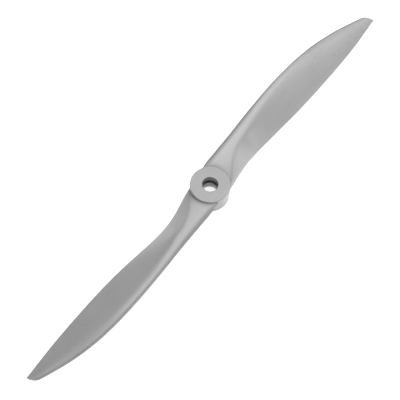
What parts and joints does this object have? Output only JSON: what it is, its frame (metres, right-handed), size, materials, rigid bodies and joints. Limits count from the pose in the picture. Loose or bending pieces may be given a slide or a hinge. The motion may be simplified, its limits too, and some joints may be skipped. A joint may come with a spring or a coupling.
{
  "type": "model aircraft propeller",
  "caption": "One-piece moulded two-blade tractor propeller for a model aircraft, with a stepped shaft bore through a round hub.",
  "frame": {"origin": "on the shaft axis at the hub's rear face, which seats on the drive washer", "axes": "+Z forward along the shaft axis, out of the front hub face; +X along one blade"},
  "size_m": [0.254, 0.0258, 0.0106],
  "materials": {
    "grey_nylon": "satin glass-filled nylon, as moulded"
  },
  "bodies": {
    "root": {"propeller": "grey_nylon"}
  },
  "joints": []
}
